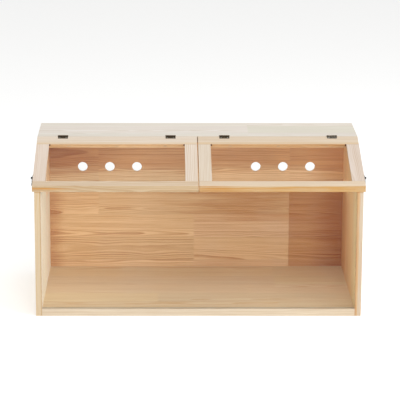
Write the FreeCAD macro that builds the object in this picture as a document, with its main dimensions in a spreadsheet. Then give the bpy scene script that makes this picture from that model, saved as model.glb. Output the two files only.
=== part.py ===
"""Wooden hamster cage: an open-fronted box with a clear front pane, a flat roof board over the
back and two hinged, clear-windowed lids that slope down to the front.

Frame: +X to the right, +Y to the back, +Z up. The origin is in the middle of the footprint, on
the surface that the cage stands on. Millimetres.
"""
import FreeCAD, Part
import math
import os
import Sketcher

os.makedirs("parts", exist_ok=True)
doc = FreeCAD.newDocument("hamster_cage")

# ---------------------------------------------------------------- driving dimensions
DIMENSIONS = (
    ("box_width", 800, "outside width across the side panels"),
    ("box_depth", 400, "outside depth of the side panels"),
    ("box_height", 400, "height of the roof board's top face"),
    ("board", 15, "thickness of the boards"),
    ("back_board", 9, "thickness of the back panel"),
    ("rail_height", 18, "height of the front rail"),
    ("roof_depth", 162, "depth of the roof board, front to back"),
    ("side_overhang", 5, "roof and lids past the side panels"),
    ("end_overhang", 2, "roof past the back, lids past the front"),
    ("lid_slope", 16, "fall of the closed lids, in degrees"),
    ("lid_thick", 15, "thickness of the lid frames"),
    ("lid_seat_gap", 0.3, "closed lid to the side panel's sloping edge"),
    ("joint_gap", 0.5, "roof's front face to the lid's back face"),
    ("middle_gap", 2, "between the two lids"),
    ("stile_width", 31.5, "lid stiles, seen from above"),
    ("top_rail_width", 42, "lid rail along the hinges"),
    ("window_run", 186, "lid window, measured down the slope"),
    ("lip", 4.5, "wood above the lid pane"),
    ("rebate", 10, "width of the step that the lid pane sits in"),
    ("pane", 3, "thickness of every clear pane"),
    ("pane_play", 0.5, "lid pane to the wall of its rebate"),
    ("front_play", 0.3, "front pane to the ends of its grooves"),
    ("groove_width", 3.4, "grooves that hold the front pane"),
    ("groove_depth", 5, "depth of those grooves"),
    ("groove_setback", 6, "front face of the box to the grooves"),
    ("vent_radius", 12.7, "vent holes in the back panel"),
    ("vent_first", 155.5, "middle of the panel to the nearest vents"),
    ("vent_pitch", 71, "vent to vent"),
    ("vent_height", 285.2, "height of the vent centres"),
    ("screw_head", 3, "panel screw: radius of the head"),
    ("screw_cone", 2.2, "panel screw: depth of the countersink"),
    ("screw_shank", 1.5, "panel screw: radius of the shank"),
    ("screw_long", 35, "panel screw: whole length"),
    ("tack_head", 1.9, "small screw: radius of the head"),
    ("tack_cone", 1, "small screw: depth of the countersink"),
    ("tack_shank", 1.1, "small screw: radius of the shank"),
    ("tack_long", 10, "small screw: whole length"),
    ("cross_long", 0.55, "driver cross: arm, as a share of the head's radius"),
    ("cross_wide", 0.12, "driver cross: half width, as a share of the head's radius"),
    ("cross_deep", 0.7, "driver cross: depth, as a share of the countersink"),
    ("floor_screw_first", 120, "floor's front screws, before the middle of the box"),
    ("floor_screw_pitch", 130, "floor screw to floor screw, along a side panel"),
    ("rail_screw_rise", 6.5, "height of the screws into the front rail"),
    ("back_screw_first", 75, "height of the lowest screws into the back panel"),
    ("back_screw_pitch", 124, "screw to screw, up the back panel's edge"),
    ("rear_screw_spread", 260, "between the screws through the back into the floor"),
    ("dowel_radius", 3, "wooden dowels under the roof board"),
    ("dowel_long", 30, "length of a dowel"),
    ("dowel_rise", 10, "part of a dowel that stands in the roof board"),
    ("side_dowel_first", 75, "middle of the box to the front dowels of a side"),
    ("side_dowel_pitch", 80, "dowel to dowel along a side panel"),
    ("back_dowel_pitch", 180, "dowel to dowel along the back panel"),
    ("hinge_long", 25, "length of a hinge along the joint"),
    ("hinge_inner", 68, "middle of the cage to the inner hinges"),
    ("hinge_outer", 340, "middle of the cage to the outer hinges"),
    ("roof_leaf_deep", 8.6, "hinge joint to the free edge of the roof leaf"),
    ("lid_leaf_deep", 11.6, "hinge joint to the free edge of the lid leaf"),
    ("leaf_thick", 0.8, "sheet of a hinge leaf"),
    ("barrel", 1.5, "outer radius of the knuckles"),
    ("hinge_rise", 1.6, "hinge axis above the two faces it joins"),
    ("knuckle_gap", 0.2, "between neighbouring knuckles"),
    ("leaf_notch", 0.4, "leaf to the other leaf's knuckles"),
    ("leaf_start", 0.3, "hinge joint to the near edge of a knuckle's tab"),
    ("pin_radius", 0.7, "hinge pin"),
    ("pin_play", 0.05, "hinge pin to its bore"),
    ("pin_head", 1.2, "radius of the pin's ends"),
    ("pin_cap", 0.6, "thickness of the pin's ends"),
    ("roof_screw_reach", 5.2, "hinge joint to the screws of the roof leaf"),
    ("lid_screw_reach", 7.8, "hinge joint to the screws of the lid leaf"),
    ("leaf_screw_side", 8, "middle of the hinge to its screws"),
    ("point_long", 9, "glazing point, into the wood and over the pane"),
    ("point_bite", 4, "part of a glazing point inside the wood"),
    ("point_wide", 8, "width of a glazing point"),
    ("point_pitch", 0.3, "point to point along a rail, as a share of the lid's width"),
    ("point_thick", 0.7, "sheet of a glazing point"),
    ("latch_run", 200, "hinge joint to the latch, down the slope"),
    ("plate_long", 22, "latch plate along the lid's edge"),
    ("plate_radius", 6, "rounded ends of the latch plate"),
    ("plate_thick", 1, "sheet of the latch plate"),
    ("plate_screw_side", 7.5, "rivet to the plate screws"),
    ("shoulder", 0.4, "washer face of the rivet, under the hook"),
    ("shoulder_radius", 2.2, "radius of that washer face"),
    ("rivet_radius", 1.2, "rivet that the hook turns on"),
    ("rivet_play", 0.05, "rivet to the hook's eye"),
    ("rivet_clear", 0.25, "hook to the faces on both sides of it"),
    ("knob_radius", 2.6, "domed head of the rivet"),
    ("hook_thick", 1.4, "sheet of the hook"),
    ("hook_reach", 16.5, "rivet to the stud"),
    ("hook_eye", 3.6, "outer radius of the hook's eye"),
    ("hook_front", 2.9, "arm of the hook in front of the rivet"),
    ("hook_back", 2.1, "arm of the hook behind the rivet"),
    ("hook_jaw", 4.7, "outer radius of the hook's end"),
    ("hook_seat", 2, "half width of the hook's slot"),
    ("hook_mouth", 32, "sweep of the slot out to the back, in degrees"),
    ("hook_rest", 35, "hook swung forward off its stud, in degrees"),
    ("stud_radius", 1.6, "stud on the side panel"),
    ("stud_flange", 3.2, "flange of the stud on the wood"),
    ("stud_head", 2.7, "head that keeps the hook on the stud"),
    ("stud_cap", 1, "thickness of the flange and of the head"),
    ("stud_bite", 9, "part of the stud inside the wood"),
)

sheet = doc.addObject("Spreadsheet::Sheet", "dims")
for row, (alias, value, meaning) in enumerate(DIMENSIONS, start=1):
    sheet.set(f"A{row}", alias)
    sheet.set(f"B{row}", str(value))
    sheet.set(f"C{row}", meaning)
    sheet.setAlias(f"B{row}", alias)
doc.recompute()

# Places that several sub-parts share, as expressions over the sheet.
HALF_WIDTH = "dims.box_width / 2"
HALF_DEPTH = "dims.box_depth / 2"
INNER_X = f"({HALF_WIDTH} - dims.board)"
SLOPE_TAN = "tan(dims.lid_slope)"
SLOPE_COS = "cos(dims.lid_slope)"
SLOPE_SIN = "sin(dims.lid_slope)"
JOINT_Y = f"({HALF_DEPTH} + dims.end_overhang - dims.roof_depth)"
ROOF_BOTTOM = "(dims.box_height - dims.board)"
LID_WIDTH = f"({HALF_WIDTH} + dims.side_overhang - dims.middle_gap / 2)"
AXIS_BACK = "dims.hinge_rise * tan(dims.lid_slope / 2)"
# Height of the closed lid's underside, carried on to the joint line.
UNDERSIDE = f"(dims.box_height - dims.lid_thick / {SLOPE_COS})"
GROOVE_BOTTOM = "(dims.rail_height - dims.groove_depth)"

X_AXIS = FreeCAD.Vector(1, 0, 0)
Y_AXIS = FreeCAD.Vector(0, 1, 0)
finished = []


# ---------------------------------------------------------------- modelling helpers
def negative(expression):
    """The expression with its sign turned."""
    return f"-({expression})"


def at_end(side, expression):
    """A distance from the middle of the cage, to the left or to the right."""
    return negative(expression) if side == "left" else expression


def place(obj, where=("0", "0", "0"), axis=None, angle=None):
    """Bind an object's place to the sheet, and its turn where it has one."""
    if axis is not None:
        obj.Placement = FreeCAD.Placement(FreeCAD.Vector(), FreeCAD.Rotation(axis, 1))
        obj.setExpression("Placement.Rotation.Angle", angle)
    for name, expression in zip("xyz", where):
        obj.setExpression(f"Placement.Base.{name}", expression)
    return obj


def box(name, size, where):
    """A block with its low corner at where."""
    block = doc.addObject("Part::Box", name)
    for side, expression in zip(("Length", "Width", "Height"), size):
        block.setExpression(side, expression)
    return place(block, where)


def rod(name, radius, height, where, along="z", sweep=None):
    """A round bar that starts at where and runs along +x or +z."""
    bar = doc.addObject("Part::Cylinder", name)
    bar.setExpression("Radius", radius)
    bar.setExpression("Height", height)
    if sweep is not None:
        bar.setExpression("Angle", sweep)
    if along == "x":
        return place(bar, where, Y_AXIS, "90")
    return place(bar, where)


def fuse(name, shapes):
    """One solid from several that meet."""
    joined = doc.addObject("Part::MultiFuse", name)
    joined.Shapes = shapes
    joined.Refine = True
    return joined


def group(name, shapes):
    """Separate solids kept together as one sub-part or one tool."""
    together = doc.addObject("Part::Compound", name)
    together.Links = shapes
    return together


def cut(name, base, tools):
    """The base with every tool taken away."""
    result = doc.addObject("Part::Cut", name)
    result.Base = base
    result.Tool = tools[0] if len(tools) == 1 else group(f"{name}_tools", tools)
    result.Refine = True
    return result


def copies(name, original, places):
    """One link to the original for each place (where, axis, angle)."""
    links = []
    for number, spot in enumerate(places):
        link = doc.addObject("App::Link", f"{name}_{number}")
        link.LinkedObject = original
        links.append(place(link, *spot))
    return links


def finish(obj, node):
    """Mark an object as a finished sub-part."""
    obj.Label = node
    finished.append(obj)
    return obj


def origin_plane(body, role):
    """The body's own origin plane with that role."""
    return next(item for item in body.Origin.OriginFeatures if item.Role == role)


def add_sketch(body, role):
    """An empty sketch on one of the body's origin planes."""
    sketch = body.newObject("Sketcher::SketchObject", f"{body.Name}_{role}_sketch")
    sketch.AttachmentSupport = [(origin_plane(body, role), "")]
    sketch.MapMode = "FlatFace"
    return sketch


def pin_point(sketch, curve, end, across, up):
    """Hold a sketch point at two distances from the sketch's origin."""
    for kind, reference, expression in (("DistanceX", -2, across), ("DistanceY", -1, up)):
        if expression == "0":
            sketch.addConstraint(Sketcher.Constraint("PointOnObject", curve, end, reference))
            continue
        value = float(sheet.evalExpression(expression))
        index = sketch.addConstraint(Sketcher.Constraint(kind, -1, 1, curve, end, value))
        sketch.setExpression(f"Constraints[{index}]", expression)


def add_outline(sketch, corners):
    """A closed outline of straight lines, each corner given as two expressions."""
    points = []
    for corner in corners:
        across, up = (float(sheet.evalExpression(expression)) for expression in corner)
        points.append(FreeCAD.Vector(across, up, 0))
    ends = points[1:] + points[:1]
    lines = [sketch.addGeometry(Part.LineSegment(a, b), False) for a, b in zip(points, ends)]
    for line, following in zip(lines, lines[1:] + lines[:1]):
        sketch.addConstraint(Sketcher.Constraint("Coincident", line, 2, following, 1))
    for line, (across, up) in zip(lines, corners):
        pin_point(sketch, line, 1, across, up)


def profile_board(name, corners, length):
    """A board: an outline in (y, z) drawn out along +x."""
    body = doc.addObject("PartDesign::Body", name)
    sketch = add_sketch(body, "YZ_Plane")
    add_outline(sketch, corners)
    pad = body.newObject("PartDesign::Pad", f"{name}_pad")
    pad.Profile = sketch
    pad.setExpression("Length", length)
    return body


# ---------------------------------------------------------------- fasteners
def screw_blank(name, size):
    """A countersunk screw without its driver cross: head at z = 0, point along +z."""
    head = doc.addObject("Part::Cone", f"{name}_head")
    head.setExpression("Radius1", f"dims.{size}_head")
    head.setExpression("Radius2", f"dims.{size}_shank")
    head.setExpression("Height", f"dims.{size}_cone")
    shank = rod(f"{name}_shank", f"dims.{size}_shank", f"dims.{size}_long", ("0", "0", "0"))
    return fuse(name, [head, shank])


def screw(name, blank, size):
    """The blank with a driver cross cut into its head."""
    arm = f"dims.{size}_head * dims.cross_long"
    half = f"dims.{size}_head * dims.cross_wide"
    depth = f"dims.{size}_cone * dims.cross_deep"
    bars = []
    for number, (long_x, long_y) in enumerate(((arm, half), (half, arm))):
        size_xyz = (f"2 * {long_x}", f"2 * {long_y}", depth)
        bars.append(box(f"{name}_bar_{number}", size_xyz, (negative(long_x), negative(long_y), "0")))
    return cut(name, blank, [fuse(f"{name}_cross", bars)])


panel_blank = screw_blank("panel_blank", "screw")
panel_screw = screw("panel_screw", panel_blank, "screw")
small_blank = screw_blank("small_blank", "tack")
small_screw = screw("small_screw", small_blank, "tack")


def side_screw_places(side):
    """Panel screws from outside the side panel into the floor, the front rail and the back."""
    turn = "90" if side == "left" else "-90"
    into_floor = [(f"{step} * dims.floor_screw_pitch - dims.floor_screw_first", "dims.board / 2")
                  for step in range(3)]
    into_rail = [(f"-{HALF_DEPTH} + dims.board / 2", "dims.rail_screw_rise")]
    back_y = f"{HALF_DEPTH} - dims.back_board / 2"
    into_back = [(back_y, f"dims.back_screw_first + {step} * dims.back_screw_pitch")
                 for step in range(3)]
    outside = at_end(side, HALF_WIDTH)
    return [((outside, y, z), Y_AXIS, turn) for y, z in into_floor + into_rail + into_back]


def back_screw_places():
    """Panel screws through the back panel into the floor."""
    return [((f"{step} * dims.rear_screw_spread", HALF_DEPTH, "dims.board / 2"), X_AXIS, "90")
            for step in (-1, 0, 1)]


def dowel_places():
    """Dowels from the side panels and the back panel up into the roof board."""
    base = f"{ROOF_BOTTOM} + dims.dowel_rise - dims.dowel_long"
    spots = []
    for side in ("left", "right"):
        middle = at_end(side, f"{HALF_WIDTH} - dims.board / 2")
        spots += [((middle, f"dims.side_dowel_first + {step} * dims.side_dowel_pitch", base), None, None)
                  for step in range(2)]
    back_y = f"{HALF_DEPTH} - dims.back_board / 2"
    spots += [((f"{step} * dims.back_dowel_pitch", back_y, base), None, None)
              for step in (-1.5, -0.5, 0.5, 1.5)]
    return spots


dowel = rod("dowel", "dims.dowel_radius", "dims.dowel_long", ("0", "0", "0"))
roof_dowels = finish(group("roof_dowels", copies("dowel_copy", dowel, dowel_places())), "roof_dowels")
cabinet_spots = side_screw_places("left") + side_screw_places("right") + back_screw_places()
finish(group("cabinet_screws", copies("cabinet_screw", panel_screw, cabinet_spots)), "cabinet_screws")
cabinet_holes = group("cabinet_holes", copies("cabinet_hole", panel_blank, cabinet_spots))


# ---------------------------------------------------------------- latch places
LATCH_DROP = "dims.lid_thick / 2"
LATCH_Y = f"({JOINT_Y} - dims.latch_run * {SLOPE_COS} + {LATCH_DROP} * {SLOPE_SIN})"
LATCH_Z = f"(dims.box_height - dims.latch_run * {SLOPE_SIN} - {LATCH_DROP} * {SLOPE_COS})"
STUD_Z = f"({LATCH_Z} - dims.hook_reach)"
LID_EDGE = f"({HALF_WIDTH} + dims.side_overhang)"
HOOK_IN = f"({LID_EDGE} + dims.plate_thick + dims.shoulder + dims.rivet_clear)"
HOOK_OUT = f"({HOOK_IN} + dims.hook_thick + dims.rivet_clear)"


def across_rod(name, side, radius, inner, outer, y, z):
    """A round bar along X between two distances from the middle of the cage."""
    start = negative(outer) if side == "left" else inner
    return rod(name, radius, f"({outer}) - ({inner})", (start, y, z), along="x")


# ---------------------------------------------------------------- cabinet
def side_panel(side):
    """A side board: its top slopes under the lid, and a groove inside holds the front pane."""
    node = f"{side}_side_panel"
    edge = f"({UNDERSIDE} - dims.lid_seat_gap / {SLOPE_COS})"
    joint = f"({JOINT_Y} + {HALF_DEPTH})"
    corners = (
        ("0", "0"),
        ("dims.box_depth", "0"),
        ("dims.box_depth", ROOF_BOTTOM),
        (f"{joint} + ({ROOF_BOTTOM} - {edge}) / {SLOPE_TAN}", ROOF_BOTTOM),
        ("0", f"{edge} - {joint} * {SLOPE_TAN}"),
    )
    board = profile_board(f"{node}_board", corners, "dims.board")
    left_x = negative(HALF_WIDTH) if side == "left" else INNER_X
    place(board, (left_x, negative(HALF_DEPTH), "0"))
    groove_x = negative(f"{INNER_X} + dims.groove_depth") if side == "left" else INNER_X
    groove_y = f"-{HALF_DEPTH} + dims.groove_setback"
    groove_size = ("dims.groove_depth", "dims.groove_width", "dims.box_height")
    groove = box(f"{node}_groove", groove_size, (groove_x, groove_y, GROOVE_BOTTOM))
    inner = f"{HALF_WIDTH} - dims.stud_bite"
    stud_hole = across_rod(f"{node}_stud_hole", side, "dims.rivet_radius", inner, HALF_WIDTH,
                           LATCH_Y, STUD_Z)
    finish(cut(node, board, [groove, stud_hole, cabinet_holes, roof_dowels]), node)


def floor_panel():
    """The floor, between the side panels, the front rail and the back panel."""
    size = (f"2 * {INNER_X}", "dims.box_depth - dims.board - dims.back_board", "dims.board")
    where = (negative(INNER_X), f"-{HALF_DEPTH} + dims.board", "0")
    board = box("floor_board", size, where)
    finish(cut("floor_panel", board, [cabinet_holes]), "floor_panel")


def front_rail():
    """The strip under the front pane, with a groove along its top."""
    groove_end = "(dims.groove_setback + dims.groove_width)"
    corners = (
        ("0", "0"),
        ("dims.board", "0"),
        ("dims.board", "dims.rail_height"),
        (groove_end, "dims.rail_height"),
        (groove_end, GROOVE_BOTTOM),
        ("dims.groove_setback", GROOVE_BOTTOM),
        ("dims.groove_setback", "dims.rail_height"),
        ("0", "dims.rail_height"),
    )
    strip = profile_board("front_strip", corners, f"2 * {INNER_X}")
    place(strip, (negative(INNER_X), negative(HALF_DEPTH), "0"))
    finish(cut("front_rail", strip, [cabinet_holes]), "front_rail")


def back_panel():
    """The back board between the side panels, with a row of round vents near each end."""
    board = doc.addObject("PartDesign::Body", "back_board")
    face = add_sketch(board, "XZ_Plane")
    wide = f"2 * {INNER_X}"
    add_outline(face, (("0", "0"), (wide, "0"), (wide, ROOF_BOTTOM), ("0", ROOF_BOTTOM)))
    pad = board.newObject("PartDesign::Pad", "back_pad")
    pad.Profile = face
    pad.setExpression("Length", "dims.back_board")
    doc.recompute()
    solid_volume = board.Shape.Volume
    vents = add_sketch(board, "XZ_Plane")
    radius = float(sheet.evalExpression("dims.vent_radius"))
    for sign in ("-", "+"):
        for step in range(3):
            across = f"{INNER_X} {sign} (dims.vent_first + {step} * dims.vent_pitch)"
            centre = FreeCAD.Vector(float(sheet.evalExpression(across)), 1, 0)
            circle = vents.addGeometry(Part.Circle(centre, FreeCAD.Vector(0, 0, 1), radius), False)
            pin_point(vents, circle, 3, across, "dims.vent_height")
            index = vents.addConstraint(Sketcher.Constraint("Radius", circle, radius))
            vents.setExpression(f"Constraints[{index}]", "dims.vent_radius")
    pocket = board.newObject("PartDesign::Pocket", "vent_pocket")
    pocket.Profile = vents
    pocket.Type = 1
    pocket.Midplane = True
    doc.recompute()
    vent_volume = 6 * math.pi * radius ** 2 * float(sheet.evalExpression("dims.back_board"))
    if abs(solid_volume - board.Shape.Volume - vent_volume) > 1:
        raise RuntimeError("the vents don't go through the back panel")
    place(board, (negative(INNER_X), HALF_DEPTH, "0"))
    finish(cut("back_panel", board, [cabinet_holes, roof_dowels]), "back_panel")


def front_window():
    """The clear front pane, up to just under the closed lids."""
    width = f"2 * ({INNER_X} + dims.groove_depth - dims.front_play)"
    bottom = f"({GROOVE_BOTTOM} + dims.front_play)"
    play = "(dims.groove_width - dims.pane) / 2"
    front = f"(-{HALF_DEPTH} + dims.groove_setback + {play})"
    top = f"({UNDERSIDE} - dims.lid_seat_gap / {SLOPE_COS} - ({JOINT_Y} - {front}) * {SLOPE_TAN})"
    size = (width, "dims.pane", f"{top} - {bottom}")
    finish(box("front_window", size, (negative(f"{width} / 2"), front, bottom)), "front_window")


def surface_frame(obj, part, across="0"):
    """Place an object drawn in a surface frame: x along the joint between roof and lids, y away
    from the joint along the surface, z down into the wood."""
    where = (across, JOINT_Y, "dims.box_height")
    if part == "roof":
        return place(obj, where, Y_AXIS, "180")
    return place(obj, where, X_AXIS, "180 + dims.lid_slope")


def leaf_screw_places(part, middle="0"):
    """The two screws of a hinge leaf on the roof or the lid, in the surface frame."""
    spots = []
    for sign in ("-", "+"):
        across = f"{middle} {sign} dims.leaf_screw_side"
        spots.append(((across, f"dims.{part}_screw_reach", "-dims.leaf_thick"), None, None))
    return spots


HINGE_SPOTS = {"outer": "dims.hinge_outer", "inner": "dims.hinge_inner"}


def roof_board():
    """The flat roof board, with holes for its dowels and for the hinge screws."""
    spots = []
    for side in ("left", "right"):
        for distance in HINGE_SPOTS.values():
            # The roof's surface frame has its x turned round.
            spots += leaf_screw_places("roof", negative(at_end(side, distance)))
    screws = group("roof_hinge_screws", copies("roof_hinge_screw", small_screw, spots))
    finish(surface_frame(screws, "roof"), "roof_hinge_screws")
    holes = surface_frame(group("roof_hinge_holes", copies("roof_hinge_hole", small_blank, spots)), "roof")
    wide = f"2 * {LID_EDGE}"
    board = box("roof_blank", (wide, "dims.roof_depth", "dims.board"),
                (negative(LID_EDGE), JOINT_Y, ROOF_BOTTOM))
    finish(cut("roof_board", board, [holes, roof_dowels]), "roof_board")


def latch_stud(side):
    """The stud on the side panel: flange, neck and a head that keeps the hook on."""
    node = f"{side}_latch_stud"
    flange_end = f"{HALF_WIDTH} + dims.stud_cap"
    head_end = f"{HOOK_OUT} + dims.stud_cap"
    steps = (
        ("bite", "dims.rivet_radius", f"{HALF_WIDTH} - dims.stud_bite", HALF_WIDTH),
        ("flange", "dims.stud_flange", HALF_WIDTH, flange_end),
        ("neck", "dims.stud_radius", flange_end, HOOK_OUT),
        ("head", "dims.stud_head", HOOK_OUT, head_end),
    )
    rods = [across_rod(f"{node}_{step}", side, radius, inner, outer, LATCH_Y, STUD_Z)
            for step, radius, inner, outer in steps]
    finish(fuse(node, rods), node)


# ---------------------------------------------------------------- lids
def lid_origin(side):
    """The x of the lid frame's origin, the left end of that lid."""
    return negative(LID_EDGE) if side == "left" else "dims.middle_gap / 2"


def lid_frame(obj, side, offset="0"):
    """Place an object drawn in the lid's surface frame, or in one moved along x by the offset."""
    return surface_frame(obj, "lid", f"{lid_origin(side)} + {offset}")


WINDOW_END = "(dims.top_rail_width + dims.window_run)"
LID_FRONT = f"(({JOINT_Y} + {HALF_DEPTH} + dims.end_overhang) / {SLOPE_COS})"
PLUMB = f"dims.lid_thick * {SLOPE_TAN}"


def top_rail(side):
    """The rail along the hinges: plumb at the back, a rebate below for the pane."""
    gap = f"(dims.joint_gap / {SLOPE_COS})"
    step = "(dims.top_rail_width - dims.rebate)"
    corners = (
        (gap, "0"),
        ("dims.top_rail_width", "0"),
        ("dims.top_rail_width", "dims.lip"),
        (step, "dims.lip"),
        (step, "dims.lid_thick"),
        (f"{gap} + {PLUMB}", "dims.lid_thick"),
    )
    node = f"{side}_lid_top_rail"
    strip = profile_board(f"{node}_strip", corners, LID_WIDTH)
    spots = []
    for distance in HINGE_SPOTS.values():
        spots += leaf_screw_places("lid", f"{at_end(side, distance)} - ({lid_origin(side)})")
    screws = group(f"{side}_lid_hinge_screws", copies(f"{side}_lid_hinge_screw", small_screw, spots))
    finish(lid_frame(screws, side), f"{side}_lid_hinge_screws")
    holes = group(f"{side}_lid_hinge_holes", copies(f"{side}_lid_hinge_hole", small_blank, spots))
    finish(lid_frame(cut(node, strip, [holes]), side), node)


def bottom_rail(side):
    """The front rail of the lid: plumb at the front, a rebate below for the pane."""
    step = f"({WINDOW_END} + dims.rebate)"
    corners = (
        (WINDOW_END, "0"),
        (LID_FRONT, "0"),
        (f"{LID_FRONT} + {PLUMB}", "dims.lid_thick"),
        (step, "dims.lid_thick"),
        (step, "dims.lip"),
        (WINDOW_END, "dims.lip"),
    )
    node = f"{side}_lid_bottom_rail"
    strip = profile_board(f"{node}_strip", corners, LID_WIDTH)
    finish(lid_frame(strip, side), node)


def plate_screw_places(side):
    """The two screws of the latch plate, from outside into the outer stile."""
    turn = "90" if side == "left" else "-90"
    edge = "-dims.plate_thick" if side == "left" else f"{LID_WIDTH} + dims.plate_thick"
    runs = (f"dims.latch_run {sign} dims.plate_screw_side" for sign in ("-", "+"))
    return [((edge, run, LATCH_DROP), Y_AXIS, turn) for run in runs]


def stile(side, part):
    """A stile: a full width strip level with the lips, and a narrower one below it whose ends
    run on as tongues into the rebates of the two rails."""
    node = f"{side}_lid_{part}_stile"
    at_left = (side == "left") == (part == "outer")
    narrow = "(dims.stile_width - dims.rebate)"
    upper_x = "0" if at_left else f"{LID_WIDTH} - dims.stile_width"
    lower_x = "0" if at_left else f"{LID_WIDTH} - {narrow}"
    upper = box(f"{node}_upper", ("dims.stile_width", "dims.window_run", "dims.lip"),
                (upper_x, "dims.top_rail_width", "0"))
    lower = box(f"{node}_lower",
                (narrow, "dims.window_run + 2 * dims.rebate", "dims.lid_thick - dims.lip"),
                (lower_x, "dims.top_rail_width - dims.rebate", "dims.lip"))
    strip = fuse(f"{node}_strip", [upper, lower])
    if part == "inner":
        finish(lid_frame(strip, side), node)
        return
    spots = plate_screw_places(side)
    screws = group(f"{side}_latch_screws", copies(f"{side}_latch_screw", small_screw, spots))
    finish(lid_frame(screws, side), f"{side}_latch_screws")
    holes = group(f"{side}_latch_holes", copies(f"{side}_latch_hole", small_blank, spots))
    finish(lid_frame(cut(node, strip, [holes]), side), node)


def lid_window(side):
    """The lid's clear pane, up against the lips of its frame."""
    seat = "(dims.stile_width - dims.rebate + dims.pane_play)"
    start = "(dims.top_rail_width - dims.rebate + dims.pane_play)"
    end = f"({WINDOW_END} + dims.rebate - dims.pane_play)"
    bottom = "(dims.lip + dims.pane)"
    corners = ((start, "dims.lip"), (end, "dims.lip"), (end, bottom), (start, bottom))
    node = f"{side}_lid_window"
    sheet_cut = profile_board(f"{node}_sheet", corners, f"{LID_WIDTH} - 2 * {seat}")
    finish(lid_frame(sheet_cut, side, seat), node)


def glazing_points(side):
    """Flat metal points driven into the rebate's wall, just under the pane."""
    depth = "dims.lip + dims.pane"
    wall_x = "(dims.stile_width - dims.rebate)"
    wall_y = "(dims.top_rail_width - dims.rebate)"
    far_y = f"({WINDOW_END} + dims.rebate)"
    over = "(dims.point_long - dims.point_bite)"
    points = []
    for number in range(3):
        across = f"{LID_WIDTH} * (0.5 + {number - 1} * dims.point_pitch) - dims.point_wide / 2"
        for edge, start in (("back", f"{wall_y} - dims.point_bite"), ("front", f"{far_y} - {over}")):
            points.append(box(f"{side}_point_{edge}_{number}",
                              ("dims.point_wide", "dims.point_long", "dims.point_thick"),
                              (across, start, depth)))
    middle = "dims.top_rail_width + dims.window_run / 2 - dims.point_wide / 2"
    ends = (("left", f"{wall_x} - dims.point_bite"), ("right", f"{LID_WIDTH} - {wall_x} - {over}"))
    for edge, start in ends:
        points.append(box(f"{side}_point_{edge}",
                          ("dims.point_long", "dims.point_wide", "dims.point_thick"),
                          (start, middle, depth)))
    node = f"{side}_lid_glazing_points"
    finish(lid_frame(group(node, points), side), node)


# ---------------------------------------------------------------- hinges
def knuckle_spans(numbers):
    """Start and length of the numbered fifths of the barrel, each a little short at both ends."""
    fifth = "(dims.hinge_long / 5)"
    return [(f"{number} * {fifth} - dims.hinge_long / 2 + dims.knuckle_gap / 2",
             f"{fifth} - dims.knuckle_gap") for number in numbers]


def hinge_leaf(node, part, across, own):
    """A flat leaf with its own knuckles, bored for the pin and drilled for two screws."""
    axis_y = negative(AXIS_BACK)
    axis_z = "-dims.hinge_rise"
    root = f"(dims.barrel + dims.leaf_notch - {AXIS_BACK})"
    tab_deep = f"{root} - dims.leaf_start"
    sheet_z = "-dims.leaf_thick"
    sheet_size = ("dims.hinge_long", f"dims.{part}_leaf_deep - {root}", "dims.leaf_thick")
    pieces = [box(f"{node}_sheet", sheet_size, ("-dims.hinge_long / 2", root, sheet_z))]
    for number, (start, length) in enumerate(knuckle_spans(own)):
        pieces.append(box(f"{node}_tab_{number}", (length, tab_deep, "dims.leaf_thick"),
                          (start, "dims.leaf_start", sheet_z)))
        pieces.append(rod(f"{node}_knuckle_{number}", "dims.barrel", length, (start, axis_y, axis_z),
                          along="x"))
    bore = rod(f"{node}_bore", "dims.pin_radius + dims.pin_play", "2 * dims.hinge_long",
               ("-dims.hinge_long", axis_y, axis_z), along="x")
    holes = group(f"{node}_holes", copies(f"{node}_hole", small_blank, leaf_screw_places(part)))
    leaf = cut(node, fuse(f"{node}_blank", pieces), [bore, holes])
    finish(surface_frame(leaf, part, across), node)


def hinge(side, spot):
    """A butt hinge: three knuckles on the roof leaf, two on the lid leaf, and a pin."""
    across = at_end(side, HINGE_SPOTS[spot])
    name = f"{side}_{spot}_hinge"
    hinge_leaf(f"{name}_roof_leaf", "roof", across, (0, 2, 4))
    hinge_leaf(f"{name}_lid_leaf", "lid", across, (1, 3))
    axis_y = f"{JOINT_Y} - {AXIS_BACK}"
    axis_z = "dims.box_height + dims.hinge_rise"
    half = "dims.hinge_long / 2"
    steps = (
        ("rod", "dims.pin_radius", f"{across} - {half}", "dims.hinge_long"),
        ("left_cap", "dims.pin_head", f"{across} - {half} - dims.pin_cap", "dims.pin_cap"),
        ("right_cap", "dims.pin_head", f"{across} + {half}", "dims.pin_cap"),
    )
    rods = [rod(f"{name}_{step}", radius, length, (start, axis_y, axis_z), along="x")
            for step, radius, start, length in steps]
    finish(fuse(f"{name}_pin", rods), f"{name}_pin")


# ---------------------------------------------------------------- latches
def latch_plate(side):
    """The plate on the lid's edge: rounded ends, two screws and the rivet's hole."""
    node = f"{side}_latch_plate"
    start = "-dims.plate_thick" if side == "left" else LID_WIDTH
    straight = "(dims.plate_long - 2 * dims.plate_radius)"
    pieces = [box(f"{node}_middle", ("dims.plate_thick", straight, "2 * dims.plate_radius"),
                  (start, f"dims.latch_run - {straight} / 2", f"{LATCH_DROP} - dims.plate_radius"))]
    for end, sign in (("upper", "-"), ("lower", "+")):
        run = f"dims.latch_run {sign} {straight} / 2"
        pieces.append(rod(f"{node}_{end}", "dims.plate_radius", "dims.plate_thick",
                          (start, run, LATCH_DROP), along="x"))
    hole = rod(f"{node}_hole", "dims.rivet_radius", "dims.plate_thick",
               (start, "dims.latch_run", LATCH_DROP), along="x")
    screws = group(f"{node}_holes", copies(f"{node}_screw_hole", small_blank, plate_screw_places(side)))
    plate = cut(node, fuse(f"{node}_blank", pieces), [hole, screws])
    finish(lid_frame(plate, side), node)


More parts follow.
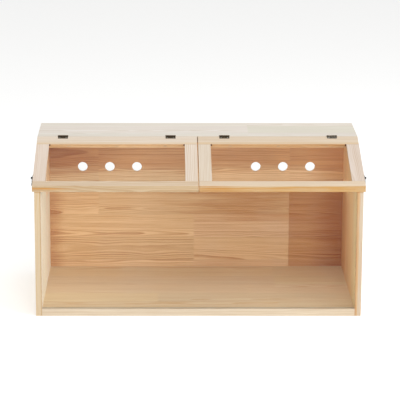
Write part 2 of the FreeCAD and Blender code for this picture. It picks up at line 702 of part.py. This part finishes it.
def latch_rivet(side):
    """The rivet that the hook turns on: washer face, neck and a domed knob."""
    node = f"{side}_latch_rivet"
    plate_out = f"{LID_EDGE} + dims.plate_thick"
    washer_out = f"{plate_out} + dims.shoulder"
    pieces = [
        across_rod(f"{node}_neck", side, "dims.rivet_radius", LID_EDGE, HOOK_OUT, LATCH_Y, LATCH_Z),
        across_rod(f"{node}_washer", side, "dims.shoulder_radius", plate_out, washer_out,
                   LATCH_Y, LATCH_Z),
    ]
    dome = doc.addObject("Part::Sphere", f"{node}_dome")
    dome.setExpression("Radius", "dims.knob_radius")
    dome.Angle1 = 0
    pieces.append(place(dome, (at_end(side, HOOK_OUT), LATCH_Y, LATCH_Z), Y_AXIS,
                        "-90" if side == "left" else "90"))
    finish(fuse(node, pieces), node)


def latch_hook(side):
    """The swinging hook, drawn hanging from its eye with the stud's slot open to the back, then
    swung forward, off the stud."""
    node = f"{side}_latch_hook"
    inner = negative(f"{HOOK_IN} + dims.hook_thick") if side == "left" else HOOK_IN
    low = "-dims.hook_reach"
    thick = "dims.hook_thick"
    arm = box(f"{node}_arm", (thick, "dims.hook_front + dims.hook_back", "dims.hook_reach"),
              ("0", "-dims.hook_front", low))
    eye = rod(f"{node}_eye", "dims.hook_eye", thick, ("0", "0", "0"), along="x")
    jaw = rod(f"{node}_jaw", "dims.hook_jaw", thick, ("0", "0", low), along="x")
    bore = rod(f"{node}_bore", "dims.rivet_radius + dims.rivet_play", thick, ("0", "0", "0"), along="x")
    seat = rod(f"{node}_seat", "dims.hook_seat", thick, ("0", "0", low), along="x")
    # The slot follows the stud's path, an arc about the rivet.
    outer = rod(f"{node}_slot_outer", "dims.hook_reach + dims.hook_seat", thick, ("0", "0", "0"),
                along="x", sweep="dims.hook_mouth")
    core = rod(f"{node}_slot_core", "dims.hook_reach - dims.hook_seat", thick, ("0", "0", "0"),
               along="x")
    slot = cut(f"{node}_slot", outer, [core])
    hook = cut(node, fuse(f"{node}_blank", [arm, eye, jaw]), [fuse(f"{node}_gap", [seat, slot]), bore])
    finish(place(hook, (inner, LATCH_Y, LATCH_Z), X_AXIS, "-dims.hook_rest"), node)


# ---------------------------------------------------------------- the whole cage
floor_panel()
front_rail()
back_panel()
front_window()
roof_board()
for cage_side in ("left", "right"):
    side_panel(cage_side)
    top_rail(cage_side)
    bottom_rail(cage_side)
    stile(cage_side, "outer")
    stile(cage_side, "inner")
    lid_window(cage_side)
    glazing_points(cage_side)
    for hinge_spot in HINGE_SPOTS:
        hinge(cage_side, hinge_spot)
    latch_plate(cage_side)
    latch_rivet(cage_side)
    latch_hook(cage_side)
    latch_stud(cage_side)

doc.recompute()
for item in doc.Objects:
    if {"Invalid", "Error"} & set(item.State):
        raise RuntimeError(f"{item.Name} is {item.State}")
for item in finished:
    if item.Shape.isNull() or not item.Shape.isValid():
        raise RuntimeError(f"{item.Label} has no valid shape")
for item in finished:
    item.Shape.exportStep(f"parts/{item.Label}.step")
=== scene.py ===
import math
import random

import bpy
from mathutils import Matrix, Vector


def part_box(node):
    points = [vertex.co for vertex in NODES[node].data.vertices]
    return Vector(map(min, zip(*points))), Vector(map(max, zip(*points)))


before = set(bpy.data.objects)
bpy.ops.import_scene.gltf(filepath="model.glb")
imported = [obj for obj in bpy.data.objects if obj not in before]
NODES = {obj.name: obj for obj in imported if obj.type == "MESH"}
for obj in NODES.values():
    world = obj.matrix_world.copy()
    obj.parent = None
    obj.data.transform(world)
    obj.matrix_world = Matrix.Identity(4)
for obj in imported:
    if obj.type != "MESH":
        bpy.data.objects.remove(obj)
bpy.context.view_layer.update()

pane_up = max(NODES["left_lid_window"].data.polygons, key=lambda face: face.area).normal
LID_SLOPE = math.atan2(abs(pane_up.y), abs(pane_up.z))     # fall of the closed lids


# ---------------------------------------------------------------- building material nodes
def linear(colour):
    """Linear light from a colour as people write it, 0 to 255."""
    shares = (part / 255 for part in colour)
    return tuple(s / 12.92 if s <= 0.04045 else ((s + 0.055) / 1.055) ** 2.4 for s in shares)


class Number:
    """A number that varies over a surface, with ordinary arithmetic."""

    def __init__(self, nodes, socket):
        self.nodes = nodes
        self.socket = socket

    def _with(self, operation, *others):
        return self.nodes.math(operation, self, *others)

    def __add__(self, other):
        return self._with("ADD", other)

    def __sub__(self, other):
        return self._with("SUBTRACT", other)

    def __mul__(self, other):
        return self._with("MULTIPLY", other)

    def __truediv__(self, other):
        return self._with("DIVIDE", other)

    __radd__ = __add__
    __rmul__ = __mul__

    def __rsub__(self, other):
        return self.nodes.math("SUBTRACT", other, self)

    def __abs__(self):
        return self._with("ABSOLUTE")

    def floor(self):
        return self._with("FLOOR")

    def fraction(self):
        return self._with("FRACT")

    def root(self):
        return self._with("SQRT")

    def between(self, low, high):
        """0 below low, 1 above high, and a smooth step between them."""
        return self.nodes.step(self, low, high)

    def inside(self, low, high, soft):
        """1 from low to high and 0 outside, with ends that soft."""
        return self.between(low - soft, low + soft) * (1 - self.between(high - soft, high + soft))


class Material:
    """A new material and short calls that add nodes to it."""

    def __init__(self, name):
        self.material = bpy.data.materials.new(name)
        self.material.use_nodes = True
        self.tree = self.material.node_tree
        self.tree.nodes.clear()

    def plug(self, socket, value):
        """Link the socket to a value that varies, or set it to a constant one."""
        if isinstance(value, Number):
            value = value.socket
        if isinstance(value, bpy.types.NodeSocket):
            self.tree.links.new(value, socket)
        elif socket.type == "RGBA" and len(value) == 3:
            socket.default_value = (*value, 1)
        else:
            socket.default_value = value

    def add(self, kind, inputs, **settings):
        node = self.tree.nodes.new(kind)
        for name, value in settings.items():
            setattr(node, name, value)
        for key, value in inputs.items():
            self.plug(node.inputs[key], value)
        return node

    def math(self, operation, *values):
        node = self.add("ShaderNodeMath", dict(enumerate(values)), operation=operation)
        return Number(self, node.outputs[0])

    def step(self, value, low, high):
        inputs = {"Value": value, "From Min": low, "From Max": high}
        node = self.add("ShaderNodeMapRange", inputs, interpolation_type="SMOOTHSTEP")
        return Number(self, node.outputs[0])

    def vector(self, x, y, z):
        return self.add("ShaderNodeCombineXYZ", {"X": x, "Y": y, "Z": z}).outputs[0]

    def sum(self, a, b):
        return self.add("ShaderNodeVectorMath", {0: a, 1: b}, operation="ADD").outputs[0]

    def parts(self, vector):
        node = self.add("ShaderNodeSeparateXYZ", {"Vector": vector})
        return [Number(self, output) for output in node.outputs]

    def noise(self, vector, scale=1.0, detail=2.0, roughness=0.5):
        inputs = {"Vector": vector, "Scale": scale, "Detail": detail, "Roughness": roughness}
        return Number(self, self.add("ShaderNodeTexNoise", inputs).outputs["Fac"])

    def dice(self, x, y=0.0, z=0.0):
        """Three random numbers for each x, y and z, each from 0 to 1."""
        node = self.add("ShaderNodeTexWhiteNoise", {"Vector": self.vector(x, y, z)})
        return self.parts(node.outputs["Color"])

    def mix(self, factor, a, b, blend_type="MIX"):
        node = self.add("ShaderNodeMix", {"Factor": factor}, data_type="RGBA", blend_type=blend_type)
        self.plug(node.inputs[6], a)
        self.plug(node.inputs[7], b)
        return node.outputs[2]

    def tinted(self, colour, tint, cover):
        """The colour, multiplied by the tint as far as cover, from 0 to 1, says."""
        return self.mix(cover, colour, self.mix(1.0, colour, linear(tint), "MULTIPLY"))

    def object_point(self, turn=0.0):
        """The point on the piece, turned about X so that a sloping lid lies flat."""
        point = self.add("ShaderNodeTexCoord", {}).outputs["Object"]
        return self.add("ShaderNodeMapping", {"Vector": point, "Rotation": (turn, 0, 0)}).outputs[0]

    def object_facing(self, turn=0.0):
        """The way that the surface faces, turned like object_point."""
        facing = self.add("ShaderNodeTexCoord", {}).outputs["Normal"]
        turned = {"Vector": facing, "Rotation": (turn, 0, 0)}
        return self.parts(self.add("ShaderNodeMapping", turned, vector_type="NORMAL").outputs[0])

    def bump(self, height, distance, strength):
        inputs = {"Height": height, "Distance": distance, "Strength": strength}
        return self.add("ShaderNodeBump", inputs).outputs[0]

    def finish(self, shader):
        self.add("ShaderNodeOutputMaterial", {"Surface": shader})
        return self.material


def measure(node, turn):
    """The middle and the size of a CAD node's box, after the turn about X."""
    sine, cosine = math.sin(turn), math.cos(turn)
    points = [(v.co.x, v.co.y * cosine - v.co.z * sine, v.co.y * sine + v.co.z * cosine)
              for v in NODES[node].data.vertices]
    spans = [(min(axis), max(axis)) for axis in zip(*points)]
    return [(low + high) / 2 for low, high in spans], [high - low for low, high in spans]


# ---------------------------------------------------------------- pine
RING = 0.0026                     # width of a year ring
HEART_LEAST = 0.012               # the log's heart lies at least this far under the board,
HEART_SPREAD = 0.045              # and up to this much further
WHOLE = 0.5                       # a stave wider than any strip: the piece isn't glued up
FIRST_LANE = 40                   # keeps the numbers of the staves above 0
GLUE_DARK = 0.0001                # half width of the dark line between two staves
GLUE_FADED = 0.0006               # half width at which it has faded out
GLUE_BROWN = (128, 84, 46)
GOLD = (255, 212, 144)
RIM = 0.0022                      # painted shade line along the inner corner of a side panel's front edge
RIM_SHADE = (232, 216, 196)
OUTER_PALE = (236, 218, 188)      # outer faces of the side and back panels
OUTER_LATE = (208, 172, 130)


class Board(Material):
    """A board's material, with the place on the board as three numbers from its middle: along its
    grain, across it and through the board. order names the object's axes for the three."""

    def __init__(self, node, order, turn, seed):
        super().__init__(f"pine_{node}")
        self.seed = seed
        point = self.parts(self.object_point(turn))
        facing = self.object_facing(turn)
        centre, sizes = measure(node, turn)
        axes = ["xyz".index(letter) for letter in order]
        self.along, self.across, self.through = (point[axis] - centre[axis] for axis in axes)
        self.length, self.thickness = sizes[axes[0]], sizes[axes[2]]
        self.face = facing[axes[2]]
        self.end_grain = abs(facing[axes[0]]).between(0.7, 0.95)
        self.front = (0 - facing[1]).between(0.75, 0.9)

    def find_stave(self, width, joint):
        """Which stave the point is in. Each stave is from another log, so it has its own luck and
        its own tone."""
        self.lane = self.across / width + random.Random(self.seed).uniform(0.2, 0.8) + FIRST_LANE
        self.row = self.lane.floor()
        self.cell = self.seed
        if joint is not None:
            first, pitch = joint
            swap = (self.dice(self.row, self.seed)[0] * 2).floor() * 0.5
            self.cell = ((self.along - first) / pitch + swap).floor()
        self.luck = self.dice(self.row, self.cell, self.seed)
        self.tone = self.dice(self.cell, self.seed + 3, self.row)

    def latewood(self, width):
        """The dark part of each year ring, and how dark it is. The rings wave a little round the
        log's heart, which lies under the board."""
        slow = self.vector(self.along * 2.6, self.across * 11, self.through * 11)
        wave = self.noise(self.sum(slow, self.vector(self.luck[0] * 9, self.row, self.cell)), detail=3)
        off_centre = (self.luck[0] - 0.5) * min(width, 0.09) * 1.5
        aside = (self.lane.fraction() - 0.5) * width - off_centre
        deep = self.through + HEART_LEAST + self.luck[1] * HEART_SPREAD
        radius = (aside * aside + deep * deep).root()
        radius = radius + (wave - 0.5) * 0.018 + self.along * (self.luck[2] - 0.5) * 0.03
        uneven = self.noise(self.vector(radius * 150, self.row, self.cell), detail=1) * 1.6
        count = radius / RING + uneven
        phase = count.fraction()
        late = phase.between(0.15, 0.86) * (1 - phase.between(0.88, 1.0))
        return late, self.dice(count.floor(), self.row, self.cell)[0] * 0.65 + 0.35

    def golden_heart(self, colour, left, right, strength=1.0, fade=0.0, reach=9.0, tint=GOLD):
        """Golden heartwood on the front of the board. It reaches a height of left at the board's
        left end and right at its right end, as shares of the face. fade weakens it below its upper
        line, and reach is the share of the board's length that it covers."""
        run = self.along / self.length + 0.5
        depth = run * (right - left) + left - (self.through / self.thickness + 0.5)
        depth = depth + (self.noise(self.vector(self.along * 16, self.seed, 0)) - 0.5) * 0.4
        streaks = self.noise(self.vector(self.along * 9, self.through * 90, self.seed))
        cover = streaks.between(0.3, 0.62) * 0.45 + 0.55
        cover = cover * depth.between(-0.04, 0.1) * (1 - depth.between(0.15, 0.45) * fade)
        cover = cover * (1 - run.between(reach * 0.4, reach * 1.6)) * strength
        return self.tinted(colour, tint, cover * self.front)

    def shaded_rim(self, colour, outside):
        """A painted shade line on the front edge, along its corner with the inner face."""
        rim = self.thickness / 2 - RIM
        line = (self.through * -outside).between(rim - RIM / 4, rim + RIM / 4)
        return self.tinted(colour, RIM_SHADE, line * self.front)

    def stretch(self, colour, cover, along, across, tint, soft):
        """One patch, with cloudy ends, where cover lets it show."""
        cloudy = (self.noise(self.vector(self.along * 5, self.across * 60, self.seed), detail=3) - 0.5) * 3
        for place, span, blur in ((self.along, along, soft[0]), (self.across, across, soft[1])):
            cover = (place + cloudy * blur).inside(*span, blur) * cover
        return self.tinted(colour, tint, cover)

    def glue_lines(self, colour, width):
        """The thin lines between the staves."""
        side = abs(self.lane.fraction() - 0.5)
        line = side.between(0.5 - GLUE_FADED / width, 0.5 - GLUE_DARK / width)
        return self.mix(line * 0.28, colour, linear(GLUE_BROWN))


def pine(node, order, pale, late, seed, turn=0.0, stave=WHOLE, joint=None, edge=None, hearts=(),
         patches=(), outside=0, rim=False):
    """Solid pine cut from round logs, of pale wood with darker latewood. The board is glued from
    staves that wide, and joint is the place of one end joint and the pitch from one to the next.
    edge tints its narrow faces. outside is 1 or -1 for a board whose outer face, up or down its
    third axis, is plain pine."""
    board = Board(node, order, turn, seed)
    board.find_stave(stave, joint)
    along, across, through = board.along, board.across, board.through
    latewood, strength = board.latewood(stave)

    # Fibres, and softer streaks and clouds along them.
    fibre = board.noise(board.vector(along * 25, across * 1500, through * 1500))
    streak = board.noise(board.vector(along * 5 + board.luck[2] * 7, across * 160, through * 160))
    cloud = board.noise(board.vector(along * 3, across * 20, through * 20 + board.luck[0] * 5))

    grain = latewood * strength * 0.62 + (streak - 0.5) * 0.55 + (fibre - 0.5) * 0.5 + 0.12
    grain = grain * (1 - board.end_grain * 0.3)
    outer = (board.face * outside).between(0.5, 0.8)
    colour = board.mix(grain.between(-0.25, 1.1),
                       board.mix(outer, linear(pale), linear(OUTER_PALE)),
                       board.mix(outer, linear(late), linear(OUTER_LATE)))
    shade = 1 + (board.tone[0] - 0.5) * 0.09 + (cloud - 0.5) * 0.12 - board.end_grain * 0.14
    stave_shade = board.vector(shade, shade * (1 + (board.tone[1] - 0.5) * 0.03),
                               shade * (1 + (board.tone[2] - 0.5) * 0.07))
    colour = board.mix(1.0, colour, stave_shade, "MULTIPLY")
    if edge is not None:
        narrow = 1 - abs(board.face).between(0.45, 0.8)
        colour = board.tinted(colour, edge, narrow * (1 - board.end_grain))
    for heart in hearts:
        colour = board.golden_heart(colour, **heart)
    if rim:
        colour = board.shaded_rim(colour, outside)
    for tinted_part in patches:
        colour = board.stretch(colour, 1 - outer, **tinted_part)
    if stave < WHOLE:
        colour = board.glue_lines(colour, stave)

    height = latewood * 0.5 + fibre * 0.55 + streak * 0.3
    shader = board.add("ShaderNodeBsdfPrincipled", {
        "Base Color": colour,
        "Roughness": 0.52 + fibre * 0.16 + board.end_grain * 0.12 - latewood * 0.05,
        "Specular IOR Level": 0.32,
        "Normal": board.bump(height, 0.00022, 0.55),
    })
    return board.finish(shader.outputs[0])


# ---------------------------------------------------------------- the boards of the cage
EDGE = (227, 220, 204)            # narrow faces of the roof board and of most lid strips
WARM_LIT_EDGE = (276, 246, 210)       # narrow faces of the lids' top rails, painted warmer as cut wood and, above 255, lighter: painted light
GAP_SHADE_BROWN = (226, 196, 166)       # painted shade on the faces at the gap between the lids
CORNER_SHADE_SIZE = 0.0035                     # size of the painted shade in the upper corners of a lid's window
CORNER_SHADE_BROWN = (112, 68, 40)
BLUR = CORNER_SHADE_SIZE / 9                   # softness of a patch's sharp end
FACE = CORNER_SHADE_SIZE / 8                   # reach of a patch that covers one face of a strip
SHARP = (BLUR, BLUR)
SOFT = (0.05, 0.02)
ALL = (-1, 1)                     # a span past both ends of any board
BACK_JOINT = 0.244                # end joint of the back panel's staves, from its middle


def patch(along, across, tint, soft=SHARP):
    """A tinted stretch of a board: its spans along and across the grain from the board's middle,
    its tint, and the softness of its ends along and across."""
    return {"along": along, "across": across, "tint": tint, "soft": soft}


def back_painted_light_and_tone():
    """Painted shade and light on the back panel: painted shade under the roof along its top and in its top
    left corner, at both ends where the side panels shade it, and in a band where the lids' bottom rails
    cast their shadow, with painted light where light falls in through the lid windows. The stave to the
    right of the end joint is darker wood.
    """
    middle, right_end = 0.02, 0.33
    left, right = (-0.5, middle), (middle, 0.5)
    top, upper, lower = (0.09, 0.3), (0.035, 0.09), (-0.3, 0.035)
    return [patch(left, top, (234, 212, 192), SOFT),
            patch(right, top, (245, 220, 190), SOFT),
            patch((-0.5, -0.25), (0.08, 0.3), (228, 208, 194), (0.1, 0.02)),
            patch((BACK_JOINT, 0.5), lower, (226, 202, 176), (0.001, 0.001)),
            patch((right_end, 0.5), (-0.3, 0.05), (230, 200, 166), SOFT),
            patch(left, upper, (246, 250, 254), SOFT),
            patch((middle, 0.32), upper, (263, 266, 267), SOFT),
            patch((0.22, 0.32), upper, (262, 263, 264), (0.03, 0.02)),
            patch((0.04, 0.2), top, (242, 238, 238), (0.04, 0.02)),
            patch((0.26, right_end), top, (264, 266, 266), (0.03, 0.02)),
            patch((right_end, 0.5), (0.05, 0.3), (255, 240, 210), SOFT),
            patch((middle, BACK_JOINT + 0.002), (-0.05, 0.035), (230, 205, 175), (0.14, 0.012)),
            patch((-0.5, -0.36), (-0.3, 0.03), (232, 214, 204), (0.02, 0.02))]


def side_painted_shade(side):
    """Painted shade on a side panel: a painted shadow along the top of its front edge, right under the
    lid, and painted shade on its inner face towards the back, in the back panel's browner colours. On the
    right panel it is deepest low down, with a little painted light higher up."""
    low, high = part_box(f"{side}_side_panel")
    middle = (low[2] + high[2]) / 2
    front = (low[1] - high[1]) / 2
    under_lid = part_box(f"{side}_lid_bottom_rail")[0][2] - middle
    shadow = patch((under_lid - 0.003, 1), (-1, front + 0.002), (237, 222, 202), (0.0008, 0.0008))
    if side == "left":
        return [shadow, patch((0.045, 1), (0.05, 1), (252, 226, 198), (0.02, 0.05))]
    return [shadow,
            patch(ALL, (-0.12, 1), (250, 237, 228), (0.01, 0.03)),
            patch((0.07, 1), (-0.02, 1), (265, 260, 257), (0.02, 0.05)),
            patch((-1, 0.045), (-0.02, 1), (244, 234, 230), (0.02, 0.05)),
            patch((-1, 0.045), (0.09, 1), (248, 233, 218), (0.02, 0.05))]


def strip_faces(side, part):
    """Two faces of a lid's strip as spans: the one towards the front, across the lid, and the one
    at the gap between the lids."""
    wide, deep = measure(f"{side}_lid_{part}", -LID_SLOPE)[1][:2]
    gap = (wide / 2 - BLUR, 1) if side == "left" else (-1, BLUR - wide / 2)
    return (-1, FACE - deep / 2), gap


def top_rail_patches(side):
    """Painted shade on a lid's top rail: on its faces at the gap between the lids, on the lip that is the
    window's wall under it, and in the window's two upper corners. A band along its front is a little
    darker and warmer, and the right rail is a little darker all over.
    """
    low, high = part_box(f"{side}_lid_top_rail")
    middle = (low[0] + high[0]) / 2
    stiles = [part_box(f"{side}_lid_{name}") for name in ("outer_stile", "inner_stile")]
    left_stile, right_stile = sorted(stiles, key=lambda box: box[0][0])
    left, right = left_stile[1][0] - middle, right_stile[0][0] - middle
    wall, gap = strip_faces(side, "top_rail")
    tones = [patch(gap, ALL, GAP_SHADE_BROWN),
             patch(ALL, wall, (221, 218, 220)),
             patch(ALL, (-1, wall[1] + 0.01), (252, 243, 226), (0.004, 0.004)),
             patch((left, left + CORNER_SHADE_SIZE), wall, CORNER_SHADE_BROWN),
             patch((right - CORNER_SHADE_SIZE, right), wall, CORNER_SHADE_BROWN)]
    return tones + ([patch(ALL, ALL, (251, 248, 241))] if side == "right" else [])


def inner_stile_patches(side):
    """Painted shade on a lid's inner stile at the gap between the lids. The left lid's inner stile is cut
    from a lighter board than the right lid's.
    """
    gap = strip_faces(side, "inner_stile")[1]
    return [patch(ALL, gap, GAP_SHADE_BROWN)] + ([patch(ALL, ALL, (262, 262, 268))] if side == "left" else [])


def bottom_rail_patches(side):
    """The left bottom rail is a little darker behind its front face, and the right one is yellower."""
    if side == "right":
        return [patch(ALL, ALL, (257, 250, 242))]
    wall = strip_faces(side, "bottom_rail")[0]
    return [patch(ALL, (wall[1], 1), (246, 237, 226))]


BOARDS = {
    "roof_board": dict(order="xyz", pale=(235, 229, 219), late=(214, 202, 183), seed=11, stave=0.081,
                       joint=(0.13, 0.9), edge=EDGE),
    # the back panel's inner face is painted orange-brown, painted shade inside the cage; its outer face
    # takes OUTER_PALE and OUTER_LATE
    "back_panel": dict(order="xzy", pale=(246, 210, 164), late=(190, 128, 76), seed=5, stave=0.062,
                       joint=(BACK_JOINT, 0.5), outside=1, patches=back_painted_light_and_tone()),
    "floor_panel": dict(order="xyz", pale=(236, 216, 184), late=(214, 174, 126), seed=23, stave=0.075,
                        joint=(-0.1, 0.6)),
    "front_rail": dict(order="xzy", pale=(214, 199, 176), late=(173, 143, 109), seed=31),
}
SIDE_PANELS = {
    # the left panel's near-white inner face is painted light falling on it; outer faces take OUTER_PALE
    # and OUTER_LATE
    "left": dict(pale=(255, 252, 241), late=(249, 236, 210), seed=41, edge=(201, 185, 164), outside=-1),
    "right": dict(pale=(255, 242, 196), late=(244, 198, 138), seed=47, edge=(198, 196, 217), outside=1,
                  hearts=[dict(left=0.45, right=0.45, strength=0.65)]),
}
BOTTOM_RAIL_HEARTS = {
    "left": [dict(left=0.72, right=0.6, fade=0.8, reach=0.2)],
    "right": [dict(left=0.7, right=0.95, fade=0.1, tint=(246, 214, 152)),
              dict(left=1.05, right=1.05, fade=0.6, reach=0.2, tint=(242, 212, 174))],
}
LID_SEEDS = {"left": 60, "right": 67}
BEECH = dict(order="zxy", pale=(214, 176, 136), late=(188, 140, 98), seed=90)


def add_side(side):
    """The side panel and the four strips of the lid on one side."""
    BOARDS[f"{side}_side_panel"] = dict(order="zyx", stave=0.068, rim=True, patches=side_painted_shade(side),
                                        **SIDE_PANELS[side])
    strips = {
        "top_rail": dict(order="xyz", edge=WARM_LIT_EDGE, patches=top_rail_patches(side)),
        "bottom_rail": dict(order="xyz", edge=EDGE, patches=bottom_rail_patches(side),
                            hearts=BOTTOM_RAIL_HEARTS[side]),
        "outer_stile": dict(order="yxz", edge=EDGE),
        "inner_stile": dict(order="yxz", edge=EDGE, patches=inner_stile_patches(side)),
    }
    for seed, (part, look) in enumerate(strips.items(), start=LID_SEEDS[side]):
        BOARDS[f"{side}_lid_{part}"] = dict(pale=(223, 211, 197), late=(198, 173, 144), seed=seed,
                                            turn=-LID_SLOPE, **look)


add_side("left")
add_side("right")


# ---------------------------------------------------------------- clear acrylic and metals
def acrylic(node, thin_axis, turn=0.0):
    """Clear sheet: see-through faces with a light gloss, and milky sawn edges, tinted warm as a painted
    reflection of the wood round them.
    """
    m = Material(f"acrylic_{node}")
    facing = m.object_facing(turn)
    face = abs(facing[thin_axis]).between(0.6, 0.9)
    point = m.object_point(turn)
    dust = m.noise(point, 420, 3, 0.7).between(0.66, 0.82) * 0.03
    wiped = m.noise(point, 9, 3).between(0.45, 0.8) * 0.02
    grazing = Number(m, m.add("ShaderNodeLayerWeight", {"Blend": 0.5}).outputs["Facing"])
    steep = grazing * grazing
    shine = steep * steep * grazing * 0.3 + 0.011 + dust
    milky = (1 - face) * 0.3
    clear = m.add("ShaderNodeBsdfTransparent", {"Color": (0.96, 0.966, 0.962, 1)}).outputs[0]
    surface = m.add("ShaderNodeBsdfPrincipled", {
        # sawn edges are milky and warm: the milkiness is real, the warmth a painted reflection of the wood
        "Base Color": m.mix(face, (0.9, 0.87, 0.8), (0.93, 0.95, 0.95)),
        "Roughness": 0.05 + wiped * 2 + (1 - face) * 0.35,
        "Specular IOR Level": 0.5,
    }).outputs[0]
    blend = m.add("ShaderNodeMixShader", {0: shine + milky + wiped * 0.4, 1: clear, 2: surface})
    return m.finish(blend.outputs[0])


def metal(name, dark, wear_and_highlight_colour, wear_and_highlight_share, roughness):
    """Plated sheet metal: darker plating, brighter in spots, with fine brushing. The spots are wear; on
    the lighter copy for the right outer hinge the whole finish is also a painted highlight.
    """
    m = Material(name)
    point = m.object_point()
    spots = m.noise(point, 260, 4, 0.65)
    x, y, z = m.parts(point)
    brushed = m.noise(m.vector(x * 300, y * 4000, z * 4000))
    amount = (spots * 0.75 + brushed * 0.25).between(0.62 - wear_and_highlight_share, 0.86 - wear_and_highlight_share)
    shader = m.add("ShaderNodeBsdfPrincipled", {
        "Base Color": m.mix(amount, linear(dark), linear(wear_and_highlight_colour)),
        "Metallic": 1.0,
        "Roughness": roughness + (spots - 0.5) * 0.25 + (brushed - 0.5) * 0.12,
        "Normal": m.bump(spots * 0.6 + brushed * 0.4, 0.00005, 0.5),
    })
    return m.finish(shader.outputs[0])


BRONZE = metal("bronze_hinge", dark=(86, 73, 57), wear_and_highlight_colour=(168, 146, 112), wear_and_highlight_share=0.1, roughness=0.46)
# a lighter copy of the bronze for the right outer hinge: a painted highlight standing in for the lamps'
# reflection on it
BRONZE_HIGHLIT = metal("bronze_hinge_painted_highlight", dark=(96, 88, 76), wear_and_highlight_colour=(186, 178, 164), wear_and_highlight_share=0.18, roughness=0.44)
STEEL = metal("steel_latch", dark=(52, 51, 50), wear_and_highlight_colour=(132, 130, 126), wear_and_highlight_share=0.06, roughness=0.38)
ZINC = metal("zinc_screw", dark=(150, 146, 138), wear_and_highlight_colour=(214, 210, 202), wear_and_highlight_share=0.2, roughness=0.34)


def dress(node):
    """The finish of one CAD node."""
    if node in BOARDS:
        return pine(node, **BOARDS[node])
    if node == "roof_dowels":
        return pine(node, **BEECH)
    if node == "front_window":
        return acrylic(node, 1)
    if node.endswith("_lid_window"):
        return acrylic(node, 2, -LID_SLOPE)
    if node.endswith(("_screws", "_glazing_points")):
        return ZINC
    if "_hinge_" in node:
        # the right outer hinge takes the painted highlight
        return BRONZE_HIGHLIT if node.startswith("right_outer") else BRONZE
    return STEEL


def soften(obj):
    """Break the sharp edges of a wooden piece by a small round."""
    weld = obj.modifiers.new("weld", "WELD")
    weld.merge_threshold = 0.00001
    bevel = obj.modifiers.new("edges", "BEVEL")
    bevel.width = 0.0006
    bevel.segments = 2
    bevel.limit_method = "ANGLE"
    bevel.angle_limit = math.radians(40)
    obj.modifiers.new("shading", "WEIGHTED_NORMAL")


for node, obj in sorted(NODES.items()):
    look = dress(node)
    for index in range(len(obj.data.materials)):
        obj.data.materials[index] = look
    if node in BOARDS:
        soften(obj)


# ---------------------------------------------------------------- floor, light and camera
FLOOR_REACH = 30.0                            # half the width of the floor, far past the view
CAMERA_PLACE = (-0.0828, -4.9587, 1.5005)     # a little to the left of the cage's middle
CAMERA_FALL = math.radians(14.22)             # the view's angle below level
AIM = (0, 0, 0.2)                             # the middle of the cage


def floor():
    """A plain pale floor."""
    near, far = -FLOOR_REACH, FLOOR_REACH
    corners = [(near, near, 0), (far, near, 0), (far, far, 0), (near, far, 0)]
    mesh = bpy.data.meshes.new("floor")
    mesh.from_pydata(corners, [], [(0, 1, 2, 3)])
    obj = bpy.data.objects.new("floor", mesh)
    bpy.context.scene.collection.objects.link(obj)
    m = Material("floor_paper")
    tooth = m.noise(m.object_point(), 900, 3)
    shader = m.add("ShaderNodeBsdfPrincipled", {
        "Base Color": m.mix(tooth, (0.9, 0.9, 0.89), (0.94, 0.94, 0.93)),
        "Roughness": 0.85,
        "Specular IOR Level": 0.1,
        "Emission Color": (1, 1, 1),
        "Emission Strength": 0.3,
    })
    mesh.materials.append(m.finish(shader.outputs[0]))


def softbox(name, place, aim, size, power):
    """A square area light that points at aim."""
    light = bpy.data.lights.new(name, "AREA")
    light.size = size
    light.energy = power
    obj = bpy.data.objects.new(name, light)
    obj.location = place
    x, y, z = (a - p for a, p in zip(aim, place))
    obj.rotation_euler = (math.atan2(math.hypot(x, y), -z), 0, math.atan2(-x, y))
    bpy.context.scene.collection.objects.link(obj)


def sky(strength):
    """Even white light from all round."""
    world = bpy.data.worlds.new("studio")
    world.use_nodes = True
    background = world.node_tree.nodes["Background"]
    background.inputs["Color"].default_value = (1, 1, 1, 1)
    background.inputs["Strength"].default_value = strength
    bpy.context.scene.world = world


def camera():
    """A long lens, level from side to side, with the cage's middle to the right of its axis."""
    data = bpy.data.cameras.new("camera")
    data.sensor_width = 36
    data.lens = 181.9
    data.shift_x = 0.0882
    data.clip_end = 100
    obj = bpy.data.objects.new("camera", data)
    obj.location = CAMERA_PLACE
    obj.rotation_euler = (math.radians(90) - CAMERA_FALL, 0, 0)
    bpy.context.scene.collection.objects.link(obj)
    bpy.context.scene.camera = obj


floor()
sky(0.6)
softbox("side", place=(3.8, -2.4, 1.3), aim=AIM, size=2.2, power=84)
softbox("front", place=(0.3, -4.3, 1.6), aim=AIM, size=2.2, power=54)
softbox("top", place=(0.2, -0.4, 3.6), aim=(0, 0, 0.3), size=2.6, power=37)
camera()
bpy.context.scene.view_settings.view_transform = "Standard"
